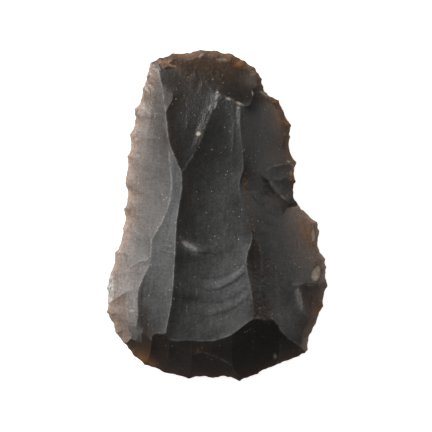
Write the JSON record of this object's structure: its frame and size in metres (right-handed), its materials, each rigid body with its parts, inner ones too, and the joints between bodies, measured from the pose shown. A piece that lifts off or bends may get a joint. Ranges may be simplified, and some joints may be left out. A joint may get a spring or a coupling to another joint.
{
  "type": "flint end scraper",
  "caption": "Knapped flint end scraper on a thick flake: long flake scars between arrises above, smooth ventral face with a bulb below, a steep retouched end and trimmed sides.",
  "frame": {"origin": "on the resting plane, under the middle of the outline seen from above", "axes": "+Y from the scraper edge to the butt, +Z out of the scarred upper face, +X to the right seen from above with the butt away"},
  "size_m": [0.0534, 0.08, 0.0126],
  "materials": {
    "flint": "knapped flint with a faint patina gloss, near black in the middle and brown where the margin is thin"
  },
  "bodies": {
    "root": {"flint_scraper": "flint"}
  },
  "joints": []
}
